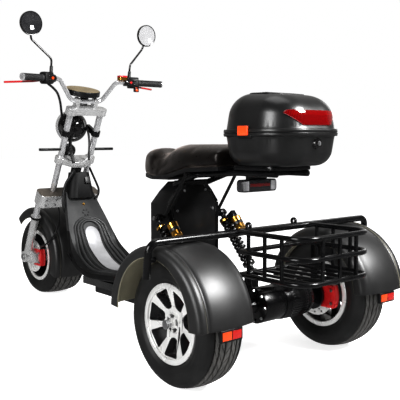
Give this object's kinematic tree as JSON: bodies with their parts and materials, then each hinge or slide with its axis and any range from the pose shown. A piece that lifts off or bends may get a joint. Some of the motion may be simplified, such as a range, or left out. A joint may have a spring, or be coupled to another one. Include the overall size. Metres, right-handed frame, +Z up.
{
  "type": "motorized trike",
  "caption": "Open motorized trike with a steered fork and fendered front wheel, step-through deck, bench seat, top case, rear basket and a rear axle under two round fenders.",
  "frame": {"origin": "on the ground, under the middle of the bounding box", "axes": "+X forward along the trike, +Y to the rider's left, +Z up"},
  "size_m": [2.2849, 1.156, 1.4647],
  "materials": {
    "black_steel": "gloss black powder coat over welded tube",
    "satin_body": "satin black moulded plastic",
    "deck_grey": "dark grey satin moulded plastic",
    "fender_satin": "satin black paint on pressed steel",
    "tyre_rubber": "tyre rubber with road tread",
    "machined_aluminium": "machined and lacquered aluminium",
    "cast_aluminium": "satin cast aluminium",
    "chrome": "polished chrome",
    "grip_rubber": "ribbed black rubber",
    "seat_leather": "black leatherette, slightly brown sheen",
    "black_plastic": "black moulded plastic",
    "red_paint": "red anodised or painted metal",
    "gold_anodised": "gold anodised aluminium",
    "red_lens": "clear red lens",
    "orange_plastic": "orange moulded plastic",
    "lamp_lens": "clear lamp lens over chrome",
    "mirror_glass": "mirror glass in a black ring",
    "stainless": "brushed stainless steel"
  },
  "bodies": {
    "chassis": {"axle_housing": "black_steel", "basket": "black_steel", "basket_braces": "black_steel", "battery_box": "black_plastic", "case_base": "satin_body", "drive_motor": "black_steel", "fender_hoop": "black_steel", "fender_left": "fender_satin", "fender_right": "fender_satin", "fender_stays": "black_steel", "foot_deck": "deck_grey", "ignition_switch": "black_plastic", "main_frame": "black_steel", "neck_cables": "black_plastic", "neck_cowl": "black_plastic", "rear_calipers": "red_paint", "rear_rack": "black_steel", "reflectors": "orange_plastic", "reservoirs": "gold_anodised", "seat": "seat_leather", "seat_box": "black_plastic", "seat_pan": "black_plastic", "shocks": "black_steel", "springs": "black_steel", "swing_arms": "black_steel", "tail_lamp": "lamp_lens", "tread_plate": "stainless"},
    "steering": {"front_axle": "stainless", "fork_legs": "cast_aluminium", "fork_bridge": "cast_aluminium", "fork_tubes": "chrome", "lower_yoke": "cast_aluminium", "upper_yoke": "cast_aluminium", "handlebar": "chrome", "grips": "grip_rubber", "switch_pods": "black_plastic", "brake_levers": "red_paint", "mirrors": "mirror_glass", "headlamp": "chrome", "lamp_brackets": "black_steel", "dash_pad": "black_plastic", "indicators": "black_plastic", "front_fender": "fender_satin", "front_caliper": "red_paint", "steering_cables": "black_plastic", "front_brake_hose": "black_plastic", "horn": "black_plastic", "brake_reservoir": "gold_anodised"},
    "front_wheel": {"front_tyre": "tyre_rubber", "front_rim": "machined_aluminium"},
    "rear_left_wheel": {"rear_left_tyre": "tyre_rubber", "rear_left_rim": "machined_aluminium", "rear_left_shaft": "stainless"},
    "rear_right_wheel": {"rear_right_tyre": "tyre_rubber", "rear_right_rim": "machined_aluminium", "rear_right_shaft": "stainless"},
    "case_lid": {"case_lid": "satin_body", "case_lens": "red_lens", "case_clasps": "orange_plastic"}
  },
  "joints": [
    {"name": "steering", "type": "hinge", "parent": "chassis", "child": "steering", "pos_m": [0.66732, 0, 0.64661], "axis": [-0.454, 0, 0.891], "range_deg": [-35, 35]},
    {"name": "front_wheel_spin", "type": "hinge", "parent": "steering", "child": "front_wheel", "pos_m": [0.9255, 0, 0.217], "axis": [0, 1, 0], "continuous": true},
    {"name": "rear_left_spin", "type": "hinge", "parent": "chassis", "child": "rear_left_wheel", "pos_m": [-0.7745, 0.387, 0.228], "axis": [0, 1, 0], "continuous": true},
    {"name": "rear_right_spin", "type": "hinge", "parent": "chassis", "child": "rear_right_wheel", "pos_m": [-0.7745, -0.387, 0.228], "axis": [0, 1, 0], "continuous": true},
    {"name": "case_lid_hinge", "type": "hinge", "parent": "chassis", "child": "case_lid", "pos_m": [-0.6615, 0, 0.876], "axis": [0, 1, 0], "range_deg": [0, 75]}
  ]
}
